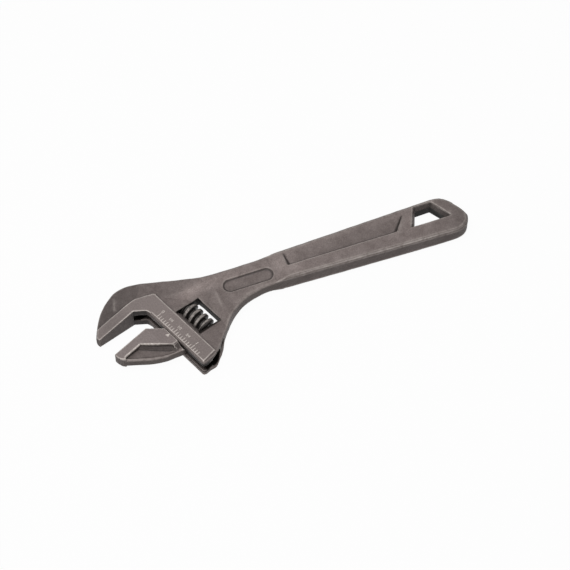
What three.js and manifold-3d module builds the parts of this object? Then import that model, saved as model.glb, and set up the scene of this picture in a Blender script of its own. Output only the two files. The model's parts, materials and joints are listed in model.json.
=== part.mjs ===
// Adjustable wrench, 200 mm size: a forged body with the fixed jaw, a movable jaw on a round rack,
// the worm that drives the rack, the pin that the worm turns on and the worm's small spring.
// Units are millimetres. +X runs from the jaws to the end of the handle, +Z is up from the flat face.
// Run with the npm packages three and manifold-3d.

import * as THREE from 'three';
import { mergeVertices } from 'three/addons/utils/BufferGeometryUtils.js';
import Module from 'manifold-3d';

const wasm = await Module();
wasm.setup();

// ---------------------------------------------------------------- driving sizes

// Head. Its own frame has X from the jaws to the handle and Y up the slot; the corner where the
// fixed jaw's grip meets the front of the cheeks is its origin.
const HEAD_ANGLE = THREE.MathUtils.degToRad(22); // jaws to handle
const HEAD_X = -72.7;          // head origin, from the neck's end of the handle
const HEAD_Y = 1.0;            // head origin, above the middle line of the handle
const HEAD_THICKNESS = 12.6;   // over the two machined bands
const JAW_REACH = 28;          // cheek front to jaw tips
const LAND_WIDTH = 5.4;        // machined band along the fixed jaw's grip
const BAND_WIDTH = 9.6;        // machined band along the slot
const TIP_THICKNESS = 6.2;     // both jaws, at their tips
const THROAT = 5.5;            // corner relief at the root of the fixed jaw
const THROAT_ROUND = 1;        // where the relief rounds into the front of the cheeks
const HEAD_HEIGHT = 16.5;      // grip to the top of the head's back
const HEAD_DEPTH = 46.8;       // grip to the open end of the slot
const BACK_END = 34;           // where the straight back of the head meets the neck
const BACK_END_Y = -5.6;
const HEEL_X = 27.5;           // end of the slanted side below the worm
const HEEL_RISE = 12.1;        // rise of that side from the open end of the slot
const BAND_STEP = 0.6;         // band above the forged web
const WEB_FALL = 0.1;          // fall of the web per mm towards the neck
const DISH_FALL = 0.21;        // fall of the dish round the worm per mm
const DISH_END = [34.6, -15];  // where the dish comes up to the neck
const BACK_FALL = 0.27;        // fall of the head's back per mm
const NOSE = [-12.7, 5.6];     // where the crease of the nose meets the machined land
const RIDGE = [10.4, -2.7];    // where the soft ridge over the dish starts
const RIDGE_FALL = 0.08;
const BEVEL = 0.9;             // machined bevel on the cheeks' front and end edges

// Handle.
const HANDLE_LENGTH = 103.3;   // neck to the end
const HANDLE_THICKNESS = 9.2;
const HANDLE_WIDTH = 16.6;     // at the neck
const HANDLE_WIDTH_END = 22.6; // at the hanging hole
const HANDLE_EDGE = 0.9;       // bevel on its long edges
const HANDLE_RAMP = 7;         // length over which the neck thickens into it
const END_LOW = 9.5;           // where the lower, corner and upper curves of its end start
const END_CORNER = 8.4;
const END_HIGH = 14.5;
const END_DROP = 0.45;         // middle of its end below its middle line
const NECK_THICKNESS = 6.4;
const NECK_WIDTH = 15.8;
const NECK_LENGTH = 30;        // handle end of the neck to where the head flares out
const FLARE_START = 24.3;      // lower side of the neck, where it turns out to the head
const FLARE_END = 8;

// Hanging hole and the recesses of the handle and neck.
const HOLE_LENGTH = 22.4;       // its long lower side
const HOLE_TOP_LENGTH = 10;
const HOLE_WIDTH = 11.6;
const HOLE_END = 8;          // its long side to the end of the handle
const HOLE_RIM = 1.45;         // its short side to the upper edge
const HOLE_WAIST = 0.9;        // its width halfway through, where both dies' drafts meet
const HOLE_WAIST_LENGTH = 0.84;
const PANEL_WIDTH = 8.4;
const PANEL_DEPTH = 1.2;
const PANEL_START = 4.6;
const PANEL_WIDEN = 0.6;       // its far end wider than its near one
const PANEL_TO_HOLE = 4.1;     // its lower corner to the hole
const PANEL_LEAN = 6.4;        // lean of its far end
const PANEL_RIM = 1.1;         // its upper side to the edge, at the neck
const PANEL_DRAFT = 0.7;       // rise of its near end wall per mm
const PANEL_DRAFT_FAR = 0.95;
const OVAL_X = -16.8;          // middle of the sunk oval
const OVAL_Y = -1.7;
const OVAL_LENGTH = 26.8;
const OVAL_WIDTH = 7.6;
const OVAL_DEPTH = 0.8;

// Rack, worm, pin and spring.
const RACK_RADIUS = 4.1;       // its round back
const RACK_X = 9.4;            // its axis behind the cheek front
const RACK_TOP = 3.4;          // above the movable jaw's grip
const RACK_LENGTH = 32.4;
const WORM_RADIUS = 5.7;
const WORM_PITCH = 3.9;        // one start, right-handed
const WORM_DEPTH = 2.0;        // depth of its groove
const WORM_LENGTH = 15.2;
const WORM_BITE = 2.4;         // how far its crests reach into the round of the rack
const WORM_TURN = THREE.MathUtils.degToRad(170); // where it stands at rest
const WINDOW_FRONT = 1.1;      // room before the worm
const WINDOW_BACK = 2.4;       // room behind the worm
const WINDOW_FOOT = 16.5;      // head left below the window
const PIN_RADIUS = 1.5;
const PIN_TIP = 4;             // how far its tip goes in above the window
const PIN_HEAD_RADIUS = 2.1;
const PIN_HEAD_LENGTH = 5;
const PIN_SHELF = 2;           // head's steel between the window and the pin's head
const SPRING_WIRE = 0.5;
const SPRING_TURNS = 4;
const SPRING_PITCH = 1.1;

// Movable jaw.
const JAW_THICKNESS = 11.2;
const JAW_PLATE = 3.8;         // its thin plate, which runs in the slot
const JAW_PLATE_TOP = -6.5;    // edges of the plate in the slot, below its grip
const JAW_PLATE_FOOT = -22.6;
const JAW_GAP = 11.4;          // opening at rest
const SLOT_TOP = 0.4;          // top of the slot for the plate, above the fixed grip
const JAW_LAND_DEPTH = 17;     // grip to the foot of its thick part
const JAW_RIDGE = 4.6;         // width of its thick part along the grip
const JAW_ELBOW = 14.9;        // where the thick part turns down, before the cheeks
const JAW_RIM = 5;             // thickness over the rim of its pocket
const JAW_RIM_WIDTH = 0.9;
const JAW_DRAFT = 1.2;         // steepness of the pocket's wall along the cheeks
const JAW_RIM_FOOT = -20.9;    // the rim's lower edge at the cheeks, below its grip

// Clearances.
const SLIDE = 0.2;             // rack in its bore, plate in its slot, per side
const SHOULDER = 0.3;          // movable jaw to cheek front
const END_PLAY = 0.3;          // worm to each end of its window
const MESH = 0.2;              // worm thread to rack
const SEAT = 0.3;              // fixed pieces to the body
const PIN_RUN = 0.3;           // worm bore round the pin, and round its spring

// ---------------------------------------------------------------- derived sizes

const headTop = HEAD_THICKNESS / 2;
const throatFoot = 0.8 * THROAT;
const webTop = headTop - BAND_STEP;
const ridgeTop = webTop - 0.2;
const jawTaper = (headTop - TIP_THICKNESS / 2) / (JAW_REACH - THROAT);
const handleTop = HANDLE_THICKNESS / 2;
const neckTop = NECK_THICKNESS / 2;
const rampRise = (handleTop - neckTop) / HANDLE_RAMP;
const rackBottom = RACK_TOP - RACK_LENGTH;
const wormX = RACK_X + RACK_RADIUS + WORM_RADIUS - WORM_BITE;
const windowBottom = WINDOW_FOOT - HEAD_DEPTH;
const windowTop = windowBottom + WORM_LENGTH + 2 * END_PLAY;
const wormCentre = (windowBottom + windowTop) / 2;
const pinSeat = windowBottom - PIN_SHELF;
const pinTip = windowTop + PIN_TIP;
const springInner = PIN_RADIUS + PIN_RUN;
const springOuter = springInner + SPRING_WIRE;
const springSpace = SPRING_TURNS * SPRING_PITCH + SPRING_WIRE;
const holeX = HANDLE_LENGTH - HOLE_END;

// ---------------------------------------------------------------- finishes

const forged = () => new THREE.MeshStandardMaterial({ color: 0x67605d, roughness: 0.62, metalness: 0.75 });
const steel = (color) => new THREE.MeshStandardMaterial({ color, roughness: 0.5, metalness: 0.85 });

// ---------------------------------------------------------------- solids

// A closed three.js geometry as a manifold solid.
function solid(geometry, matrix) {
  let g = geometry.clone();
  if (matrix) g.applyMatrix4(matrix);
  g.deleteAttribute('normal');
  g.deleteAttribute('uv');
  g = mergeVertices(g, 1e-5);
  return new wasm.Manifold(new wasm.Mesh({
    numProp: 3,
    vertProperties: new Float32Array(g.attributes.position.array),
    triVerts: new Uint32Array(g.index.array),
  }));
}

function geometryOf(manifold) {
  const mesh = manifold.getMesh();
  const g = new THREE.BufferGeometry();
  g.setAttribute('position', new THREE.BufferAttribute(new Float32Array(mesh.vertProperties), 3));
  g.setIndex(new THREE.BufferAttribute(new Uint32Array(mesh.triVerts), 1));
  g.computeVertexNormals();
  return g;
}

// A plate of an outline, half of its thickness on either side of Z = 0.
function plate(shape, thickness, bevel = 0, segments = 14) {
  const g = new THREE.ExtrudeGeometry(shape, {
    depth: thickness - 2 * bevel,
    bevelEnabled: bevel > 0,
    bevelThickness: bevel,
    bevelSize: bevel,
    bevelOffset: -bevel,
    bevelSegments: 1,
    curveSegments: segments,
  });
  g.translate(0, 0, bevel - thickness / 2);
  return solid(g);
}

const BIG = 400;

// The half space above a plane that holds point p and rises by sx and sy per mm.
function above(p, sx, sy) {
  const normal = new THREE.Vector3(-sx, -sy, 1).normalize();
  const turn = new THREE.Quaternion().setFromUnitVectors(new THREE.Vector3(0, 0, 1), normal);
  const centre = new THREE.Vector3(...p).addScaledVector(normal, BIG / 2);
  const matrix = new THREE.Matrix4().compose(centre, turn, new THREE.Vector3(1, 1, 1));
  return solid(new THREE.BoxGeometry(BIG, BIG, BIG), matrix);
}

// The same tool on the underside.
function mirrored(tool) {
  return tool.mirror([0, 0, 1]);
}

function cutBothFaces(body, tool) {
  return body.subtract(tool).subtract(mirrored(tool));
}

// A round bar along Y, from y0 to y1.
function barY(radius, y0, y1, x = 0, sides = 40) {
  const g = new THREE.CylinderGeometry(radius, radius, y1 - y0, sides);
  return solid(g, new THREE.Matrix4().makeTranslation(x, (y0 + y1) / 2, 0));
}

function box(x0, x1, y0, y1, z0, z1) {
  const g = new THREE.BoxGeometry(x1 - x0, y1 - y0, z1 - z0);
  return solid(g, new THREE.Matrix4().makeTranslation((x0 + x1) / 2, (y0 + y1) / 2, (z0 + z1) / 2));
}

// ---------------------------------------------------------------- frames

// Head frame to handle frame, for a point and for a solid.
const headMatrix = new THREE.Matrix4().makeRotationZ(HEAD_ANGLE).setPosition(HEAD_X, HEAD_Y, 0);

function at(x, y) {
  const v = new THREE.Vector3(x, y, 0).applyMatrix4(headMatrix);
  return [v.x, v.y];
}

function inHead(manifold) {
  return manifold.transform(headMatrix.elements);
}

// A plane given in the head frame, as a tool in the handle frame.
function aboveInHead(p, sx, sy) {
  return inHead(above(p, sx, sy));
}

// ---------------------------------------------------------------- body

// The whole plan of the forging, in the handle frame.
function bodyPlan() {
  const s = new THREE.Shape();
  const half = HANDLE_WIDTH / 2;
  const halfEnd = HANDLE_WIDTH_END / 2;
  const end = HANDLE_LENGTH;
  s.moveTo(0, -half);
  const low = -halfEnd - END_DROP;
  const high = halfEnd - END_DROP;
  s.lineTo(end - END_LOW, low);
  s.quadraticCurveTo(end - END_LOW * 0.19, low + 0.1, end, low + halfEnd * 0.68);
  s.quadraticCurveTo(end - 2.2, high - halfEnd * 0.61, end - END_CORNER, high - 1.4);
  s.quadraticCurveTo(end - END_HIGH * 0.7, high - 0.3, end - END_HIGH, high);
  s.lineTo(0, half);
  // neck, then the straight back of the head
  s.quadraticCurveTo(-NECK_LENGTH, NECK_WIDTH / 2 - 0.4, ...at(BACK_END, BACK_END_Y));
  s.lineTo(...at(5.2, HEAD_HEIGHT - 2.3));
  s.quadraticCurveTo(...at(-0.2, HEAD_HEIGHT + 1.5), ...at(-8, HEAD_HEIGHT - 0.8));
  s.quadraticCurveTo(...at(-JAW_REACH * 0.657, HEAD_HEIGHT - 3.6), ...at(-JAW_REACH, 1.8));
  // fixed jaw and its throat
  s.lineTo(...at(-JAW_REACH + 0.2, 0));
  s.lineTo(...at(-THROAT, 0));
  s.lineTo(...at(-THROAT_ROUND, -throatFoot + 0.8 * THROAT_ROUND));
  s.quadraticCurveTo(...at(0, -throatFoot), ...at(0, -throatFoot - 1.5 * THROAT_ROUND));
  // front of the cheeks, open end of the slot
  s.lineTo(...at(0, -HEAD_DEPTH + 1.6));
  s.quadraticCurveTo(...at(0, -HEAD_DEPTH), ...at(2, -HEAD_DEPTH));
  s.lineTo(...at(BAND_WIDTH - 3, -HEAD_DEPTH + 0.2));
  s.quadraticCurveTo(...at(BAND_WIDTH - 1, -HEAD_DEPTH + 0.3), ...at(BAND_WIDTH + 1, -HEAD_DEPTH + 1.5));
  s.lineTo(...at(HEEL_X, -HEAD_DEPTH + HEEL_RISE));
  s.quadraticCurveTo(-FLARE_START, -NECK_WIDTH / 2 - 0.1, -FLARE_END, -NECK_WIDTH / 2 - 0.1);
  s.lineTo(0, -half);
  return s;
}

// The machined bands: one along the fixed jaw's grip and one along the slot, in the head frame.
function bandPlan() {
  const s = new THREE.Shape();
  s.moveTo(-JAW_REACH + 0.2, 0);
  s.lineTo(-THROAT, 0);
  s.lineTo(-THROAT_ROUND, -throatFoot + 0.8 * THROAT_ROUND);
  s.quadraticCurveTo(0, -throatFoot, 0, -throatFoot - 1.5 * THROAT_ROUND);
  s.lineTo(0, -HEAD_DEPTH + 1.6);
  s.quadraticCurveTo(0, -HEAD_DEPTH, 2, -HEAD_DEPTH);
  s.lineTo(BAND_WIDTH - 3, -HEAD_DEPTH + 0.2);
  s.quadraticCurveTo(BAND_WIDTH - 1, -HEAD_DEPTH + 0.3, BAND_WIDTH, -HEAD_DEPTH + 1);
  s.lineTo(BAND_WIDTH, -0.6);
  s.quadraticCurveTo(BAND_WIDTH, 1, 8.1, 1.7);
  s.lineTo(2.6, 4.1);
  s.quadraticCurveTo(0.2, LAND_WIDTH, -2.4, LAND_WIDTH);
  s.lineTo(-JAW_REACH + 3.4, LAND_WIDTH);
  s.lineTo(-JAW_REACH, 1.8);
  return s;
}

// A long prism along a plan line p to q that bevels the edge there by size, at height z.
function edgeBevel(p, q, size, z) {
  const along = new THREE.Vector3(q[0] - p[0], q[1] - p[1], 0);
  const length = along.length() + 4 * size;
  const matrix = new THREE.Matrix4().makeTranslation((p[0] + q[0]) / 2, (p[1] + q[1]) / 2, z);
  matrix.multiply(new THREE.Matrix4().makeRotationZ(Math.atan2(along.y, along.x)));
  matrix.multiply(new THREE.Matrix4().makeRotationX(Math.PI / 4));
  const side = size * Math.SQRT2;
  return solid(new THREE.BoxGeometry(length, side, side), matrix);
}

// Forged head: the plan cut down by the slopes of its back, nose and web, in the handle frame.
function headBlank(plan) {
  const web = aboveInHead([BAND_WIDTH, 0, webTop], -WEB_FALL, 0);
  const back = aboveInHead([0, LAND_WIDTH, webTop], 0, -BACK_FALL);
  const tip = aboveInHead([-THROAT, 0, webTop], jawTaper, 0);
  const jaw = aboveInHead([-THROAT, LAND_WIDTH, webTop], jawTaper, -BACK_FALL);
  const nose = aboveInHead([...NOSE, webTop - 1.05], 0.22, -0.334);
  const crest = above([...at(...RIDGE), ridgeTop], -RIDGE_FALL, -0.16);
  let head = plate(plan, 2 * webTop);
  for (const slope of [web, back, tip, jaw, nose, crest]) head = cutBothFaces(head, slope);
  return head;
}

function bands() {
  const low = -HEAD_DEPTH;
  const front = edgeBevel([0, low], [0, -THROAT - 3 * BEVEL], BEVEL, headTop);
  const end = edgeBevel([0, low - 0.2], [BAND_WIDTH, low + 1], BEVEL * 1.4, headTop);
  const back = edgeBevel([BAND_WIDTH, low], [BAND_WIDTH, -1], BAND_STEP * 0.8, headTop);
  let band = plate(bandPlan(), HEAD_THICKNESS);
  band = cutBothFaces(band, above([-THROAT, 0, headTop], jawTaper, 0));
  for (const bevel of [front, end, back]) band = cutBothFaces(band, bevel);
  return inHead(band);
}

// The shallow dish in the web round the worm window, in the handle frame.
function dish() {
  const floor = aboveInHead([BAND_WIDTH, 0, webTop], -DISH_FALL, 0);
  const rise = above([...at(...DISH_END), neckTop], 0.22, 0);
  const ridge = above([...at(...RIDGE), ridgeTop], -RIDGE_FALL, 0.17);
  return floor.intersect(rise).intersect(ridge);
}

// Handle and neck, with their bevelled edges; the handle comes up to its full thickness in a ramp.
function handleBlank(plan) {
  let neck = plate(plan, NECK_THICKNESS, HANDLE_EDGE * 0.7);
  neck = cutBothFaces(neck, above([-NECK_LENGTH - 8, 0, neckTop], 0.2, 0));
  let handle = plate(plan, HANDLE_THICKNESS, HANDLE_EDGE);
  handle = cutBothFaces(handle, above([-HANDLE_RAMP / 2, 0, neckTop], rampRise, 0));
  return neck.add(handle);
}

// The sunk panel on one face of the handle. Its floor starts flush along the upper side and is
// deepest along the lower one; both end walls are drafted.
function panel() {
  const high = HANDLE_WIDTH / 2 - PANEL_RIM;
  const low = high - PANEL_WIDTH;
  const end = holeX - HOLE_LENGTH - PANEL_TO_HOLE - PANEL_LEAN / 2;
  const s = new THREE.Shape();
  s.moveTo(PANEL_START + 1, low);
  s.lineTo(end, low - PANEL_WIDEN);
  s.lineTo(end + PANEL_LEAN, high);
  s.lineTo(PANEL_START, high);
  s.lineTo(PANEL_START, low + 1);
  s.quadraticCurveTo(PANEL_START, low, PANEL_START + 1, low);
  const floor = above([0, high, handleTop], 0, PANEL_DEPTH / PANEL_WIDTH);
  const near = above([PANEL_START, 0, handleTop], -PANEL_DRAFT, 0);
  const steep = PANEL_DRAFT_FAR / Math.hypot(PANEL_WIDTH, PANEL_LEAN);
  const far = above([end, low, handleTop], steep * PANEL_WIDTH, -steep * PANEL_LEAN);
  return plate(s, HANDLE_THICKNESS + 2).intersect(floor).intersect(near).intersect(far);
}

// The sunk oval on one face of the neck.
function oval() {
  const r = OVAL_WIDTH / 2;
  const reach = (OVAL_LENGTH - OVAL_WIDTH) / 2;
  const s = new THREE.Shape();
  s.moveTo(OVAL_X - reach, OVAL_Y - r);
  s.lineTo(OVAL_X + reach, OVAL_Y - r);
  s.absarc(OVAL_X + reach, OVAL_Y, r, -Math.PI / 2, Math.PI / 2);
  s.lineTo(OVAL_X - reach, OVAL_Y + r);
  s.absarc(OVAL_X - reach, OVAL_Y, r, Math.PI / 2, Math.PI * 1.5);
  const floor = above([0, 0, neckTop - OVAL_DEPTH], 0, 0);
  return plate(s, NECK_THICKNESS + 2).intersect(floor);
}

// The hanging hole: four sides, the upper one short and parallel to the handle's upper edge. Its
// walls are drafted from both faces to a narrower waist.
function hangingHole() {
  const high = HANDLE_WIDTH_END / 2 - END_DROP - HOLE_RIM;
  const low = high - HOLE_WIDTH;
  const topEnd = holeX - (HOLE_LENGTH - HOLE_TOP_LENGTH) * 0.55;
  const centreX = holeX - HOLE_LENGTH / 3;
  const centreY = (high + low) / 2;
  const corners = [
    [holeX - HOLE_LENGTH, low],
    [holeX, low],
    [topEnd, high],
    [topEnd - HOLE_TOP_LENGTH, high],
  ];
  const outline = (alongX, alongY) => {
    const points = corners.map(([x, y]) => {
      return new THREE.Vector2(centreX + alongX * (x - centreX), centreY + alongY * (y - centreY));
    });
    return new THREE.Shape(points);
  };
  const waist = plate(outline(HOLE_WAIST_LENGTH, HOLE_WAIST), 0.6);
  const mouth = plate(outline(1, 1), 1).translate([0, 0, handleTop + 0.5]);
  const draft = wasm.Manifold.hull([waist, mouth]);
  return draft.add(mirrored(draft));
}

// Slot for the jaw's plate, bore for its rack, window for the worm and hole for the pin.
function headCuts() {
  const low = -HEAD_DEPTH - 2;
  const halfSlot = JAW_PLATE / 2 + SLIDE;
  const front = wormX - WORM_RADIUS - WINDOW_FRONT;
  const back = wormX + WORM_RADIUS + WINDOW_BACK;
  const slot = box(-THROAT, RACK_X, low, SLOT_TOP, -halfSlot, halfSlot);
  const bore = barY(RACK_RADIUS + SLIDE, low, RACK_TOP + END_PLAY, RACK_X);
  const window = box(front, back, windowBottom, windowTop, -HEAD_THICKNESS, HEAD_THICKNESS);
  const pinHole = barY(PIN_RADIUS + SEAT, low, pinTip + SEAT, wormX, 24);
  const screwHole = barY(PIN_HEAD_RADIUS + SEAT, low, pinSeat + SEAT, wormX, 24);
  return inHead(slot.add(bore).add(window).add(pinHole).add(screwHole));
}

function body() {
  const plan = bodyPlan();
  let forging = cutBothFaces(headBlank(plan).add(handleBlank(plan)), dish()).add(bands());
  forging = cutBothFaces(forging, panel());
  forging = cutBothFaces(forging, oval());
  forging = forging.subtract(hangingHole()).subtract(headCuts());
  const mesh = new THREE.Mesh(geometryOf(forging), forged());
  mesh.name = 'body';
  return mesh;
}

// ---------------------------------------------------------------- worm

// Radius of the thread at a share of the pitch: rounded ridges with a flat-bottomed groove.
function threadRadius(share, radius, depth) {
  const wave = 0.5 + 0.5 * Math.cos(2 * Math.PI * share);
  return radius - depth + depth * THREE.MathUtils.smoothstep(wave, 0.08, 0.8);
}

// A threaded bar about Y from y0 to y1: rings of points whose radius follows the helix, closed by
// two flat ends. Its ridge passes +X at y = 0.
function threadedBar(y0, y1, radius, depth, perPitch = 12, sides = 36) {
  const rows = Math.round((y1 - y0) / WORM_PITCH * perPitch);
  const position = [];
  const index = [];
  for (let i = 0; i <= rows; i += 1) {
    const y = y0 + (y1 - y0) * i / rows;
    for (let j = 0; j < sides; j += 1) {
      const angle = 2 * Math.PI * j / sides;
      const r = threadRadius(y / WORM_PITCH + angle / (2 * Math.PI), radius, depth);
      position.push(r * Math.cos(angle), y, r * Math.sin(angle));
    }
  }
  for (let i = 0; i < rows; i += 1) {
    for (let j = 0; j < sides; j += 1) {
      const a = i * sides + j;
      const b = i * sides + (j + 1) % sides;
      index.push(a, a + sides, b, b, a + sides, b + sides);
    }
  }
  const low = position.length / 3;
  position.push(0, y0, 0, 0, y1, 0);
  for (let j = 0; j < sides; j += 1) {
    const next = (j + 1) % sides;
    index.push(low, j, next);
    index.push(low + 1, rows * sides + next, rows * sides + j);
  }
  const g = new THREE.BufferGeometry();
  g.setAttribute('position', new THREE.Float32BufferAttribute(position, 3));
  g.setIndex(index);
  return g;
}

function rawSolid(geometry) {
  return new wasm.Manifold(new wasm.Mesh({
    numProp: 3,
    vertProperties: new Float32Array(geometry.attributes.position.array),
    triVerts: new Uint32Array(geometry.index.array),
  }));
}

function worm() {
  const half = WORM_LENGTH / 2;
  let screw = rawSolid(threadedBar(-half, half, WORM_RADIUS, WORM_DEPTH));
  screw = screw.subtract(barY(PIN_RADIUS + PIN_RUN, -half - 1, half + 1, 0, 24));
  screw = screw.subtract(barY(springOuter + PIN_RUN, half - springSpace, half + 1, 0, 24));
  const mesh = new THREE.Mesh(geometryOf(screw), steel(0x5c5553));
  mesh.name = 'worm';
  return mesh;
}

// ---------------------------------------------------------------- movable jaw

// Outline of the tip, from the movable grip on y = 0 round to the start of the pocket's rim.
function jawTip(s) {
  s.lineTo(-JAW_REACH + 0.4, 0);
  s.quadraticCurveTo(-JAW_REACH, -JAW_RIDGE * 0.72, -JAW_REACH + 1.9, -JAW_RIDGE - 0.6);
  s.lineTo(-JAW_REACH + 2.5, -JAW_RIDGE - 1.3);
}

// Plan of the thick part: a land along the grip that turns down along the cheeks.
function jawLandPlan() {
  const s = new THREE.Shape();
  s.moveTo(-THROAT - 1.8, 0);
  jawTip(s);
  s.lineTo(-JAW_REACH + 3.4, -JAW_RIDGE);
  s.lineTo(-JAW_ELBOW, -JAW_RIDGE);
  s.lineTo(-2.9, -JAW_LAND_DEPTH);
  s.lineTo(-SHOULDER, -JAW_LAND_DEPTH);
  s.lineTo(-SHOULDER, JAW_PLATE_TOP);
  return s;
}

// Plan of the part below the land, up to the cheeks, drawn in from its lower edge by inset.
function jawWebPlan(inset = 0) {
  const x = 0.62 * inset;
  const y = 0.78 * inset;
  const s = new THREE.Shape();
  s.moveTo(-SHOULDER, -JAW_LAND_DEPTH / 2);
  s.lineTo(-JAW_REACH + 2.4 + x, -JAW_RIDGE + 1.6 + y);
  s.lineTo(-JAW_REACH + 2.5 + x, -JAW_RIDGE - 1.3 + y);
  s.lineTo(-JAW_REACH + 3.2 + x, -JAW_RIDGE - 2 + y);
  s.lineTo(-JAW_REACH * 0.609 + x, JAW_RIM_FOOT * 0.627 + y);
  s.quadraticCurveTo(-JAW_REACH * 0.325 + x, JAW_RIM_FOOT * 0.914 + y, -SHOULDER, JAW_RIM_FOOT + 1.2 * y);
  return s;
}

// Plan of the thin plate, which runs in the slot and ends on the rack's axis.
function jawPlatePlan() {
  const s = new THREE.Shape();
  s.moveTo(-2, JAW_PLATE_TOP - 2);
  s.lineTo(-2, JAW_RIM_FOOT + 1.5);
  s.lineTo(-SHOULDER, JAW_RIM_FOOT);
  s.lineTo(RACK_X, JAW_PLATE_FOOT);
  s.lineTo(RACK_X, JAW_PLATE_TOP);
  s.lineTo(-SHOULDER, JAW_PLATE_TOP);
  return s;
}

// Drafted wall under the land and the slope at its foot, down along the cheeks.
function jawDraft() {
  const top = JAW_THICKNESS / 2;
  const run = JAW_ELBOW - 2.9;
  const drop = JAW_LAND_DEPTH - JAW_RIDGE;
  const steep = JAW_DRAFT / Math.hypot(run, drop);
  const draft = above([-JAW_ELBOW, -JAW_RIDGE, top - 1.5], steep * drop, steep * run);
  const keep = box(-JAW_ELBOW - 3, -SHOULDER, JAW_RIM_FOOT, -JAW_RIDGE, -top, top);
  const wall = cutBothFaces(plate(jawWebPlan(JAW_RIM_WIDTH), JAW_THICKNESS), draft).intersect(keep);
  const s = new THREE.Shape();
  s.moveTo(-SHOULDER, -JAW_LAND_DEPTH + 0.6);
  s.lineTo(-3.2, -JAW_LAND_DEPTH + 0.6);
  s.lineTo(-3.6, -JAW_LAND_DEPTH - 0.4);
  s.lineTo(-2.4 * JAW_RIM_WIDTH, JAW_RIM_FOOT + 2);
  s.lineTo(-SHOULDER, JAW_RIM_FOOT + 1.6);
  const slope = above([0, -JAW_LAND_DEPTH, top - 1.1], 0, 1.1);
  return cutBothFaces(wall.add(plate(s, JAW_THICKNESS)), slope);
}

// The web below the land: its rim, with the pocket sunk in both faces.
function jawWeb() {
  const floor = above([0, 0, JAW_PLATE / 2], 0, 0);
  const inside = box(-JAW_REACH, -2.4 * JAW_RIM_WIDTH, JAW_RIM_FOOT, 0, 0, JAW_THICKNESS);
  const pocket = plate(jawWebPlan(JAW_RIM_WIDTH), JAW_RIM + 2).intersect(floor).intersect(inside);
  return cutBothFaces(plate(jawWebPlan(), JAW_RIM), pocket);
}

// Plate, thick part and rack in one piece. The teeth are the groove that the worm's thread leaves,
// so each one fits the thread wherever the jaw stands.
function movableJaw() {
  const top = JAW_THICKNESS / 2;
  const taper = (JAW_THICKNESS - TIP_THICKNESS) / 2 / (JAW_REACH - THROAT - 2);
  const foot = edgeBevel([-SHOULDER, -JAW_LAND_DEPTH], [-5, -JAW_LAND_DEPTH], BEVEL, top);
  let jaw = cutBothFaces(plate(jawLandPlan(), JAW_THICKNESS), foot).add(jawDraft());
  jaw = cutBothFaces(jaw, above([-THROAT - 2, 0, top], taper, 0));
  jaw = jaw.add(jawWeb()).add(plate(jawPlatePlan(), JAW_PLATE));
  const reach = 12 * WORM_PITCH;
  const thread = rawSolid(threadedBar(-reach, reach, WORM_RADIUS + MESH, WORM_DEPTH));
  const place = new THREE.Matrix4().makeTranslation(wormX, wormCentre + JAW_GAP, 0);
  place.multiply(new THREE.Matrix4().makeRotationY(WORM_TURN));
  const rack = barY(RACK_RADIUS, rackBottom, RACK_TOP, RACK_X).subtract(thread.transform(place.elements));
  const mesh = new THREE.Mesh(geometryOf(jaw.add(rack)), forged());
  mesh.name = 'movable_jaw';
  return mesh;
}

// ---------------------------------------------------------------- pin and spring

// The pin: a plain shank with a slotted screw head let into the head's lower edge.
function wormPin() {
  const low = pinSeat - PIN_HEAD_LENGTH;
  const wide = PIN_HEAD_RADIUS + 1;
  const profile = [
    new THREE.Vector2(0, low),
    new THREE.Vector2(PIN_HEAD_RADIUS, low),
    new THREE.Vector2(PIN_HEAD_RADIUS, pinSeat),
    new THREE.Vector2(PIN_RADIUS, pinSeat),
    new THREE.Vector2(PIN_RADIUS, pinTip - 0.4),
    new THREE.Vector2(PIN_RADIUS - 0.4, pinTip),
    new THREE.Vector2(0, pinTip),
  ];
  let pin = solid(new THREE.LatheGeometry(profile, 24));
  pin = pin.subtract(box(-wide, wide, low - 1, low + 1, -0.35, 0.35));
  const mesh = new THREE.Mesh(geometryOf(pin), steel(0x4f4a48));
  mesh.name = 'worm_pin';
  return mesh;
}

class Coil extends THREE.Curve {
  getPoint(t, target = new THREE.Vector3()) {
    const angle = 2 * Math.PI * SPRING_TURNS * t;
    const radius = springInner + SPRING_WIRE / 2;
    const rise = (springSpace - SPRING_WIRE - END_PLAY) * t;
    return target.set(radius * Math.cos(angle), rise, radius * Math.sin(angle));
  }
}

function wormSpring() {
  const section = new THREE.Shape().absarc(0, 0, SPRING_WIRE / 2, 0, 2 * Math.PI);
  const g = new THREE.ExtrudeGeometry(section, {
    steps: SPRING_TURNS * 16,
    extrudePath: new Coil(),
    curveSegments: 3,
    bevelEnabled: false,
  });
  const mesh = new THREE.Mesh(g, steel(0x8a8684));
  mesh.name = 'worm_spring';
  return mesh;
}

// ---------------------------------------------------------------- assembly

const wrench = new THREE.Group();
const head = new THREE.Group();
head.position.set(HEAD_X, HEAD_Y, 0);
head.rotation.z = HEAD_ANGLE;

const jaw = movableJaw();
jaw.position.y = -JAW_GAP;

const drive = new THREE.Group();
drive.position.set(wormX, 0, 0);
const wormMesh = worm();
wormMesh.position.y = wormCentre;
wormMesh.rotation.y = WORM_TURN;
const spring = wormSpring();
spring.position.y = wormCentre + WORM_LENGTH / 2 - springSpace + SPRING_WIRE / 2 + END_PLAY;
drive.add(wormMesh, wormPin(), spring);

head.add(jaw, drive);
wrench.add(body(), head);

// The origin goes to the middle of the underside.
const whole = new THREE.Box3().setFromObject(wrench, true);
const middle = whole.getCenter(new THREE.Vector3());
wrench.position.set(-middle.x, -middle.y, -whole.min.z);

const part = new THREE.Group();
part.add(wrench);

export default part;
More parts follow.
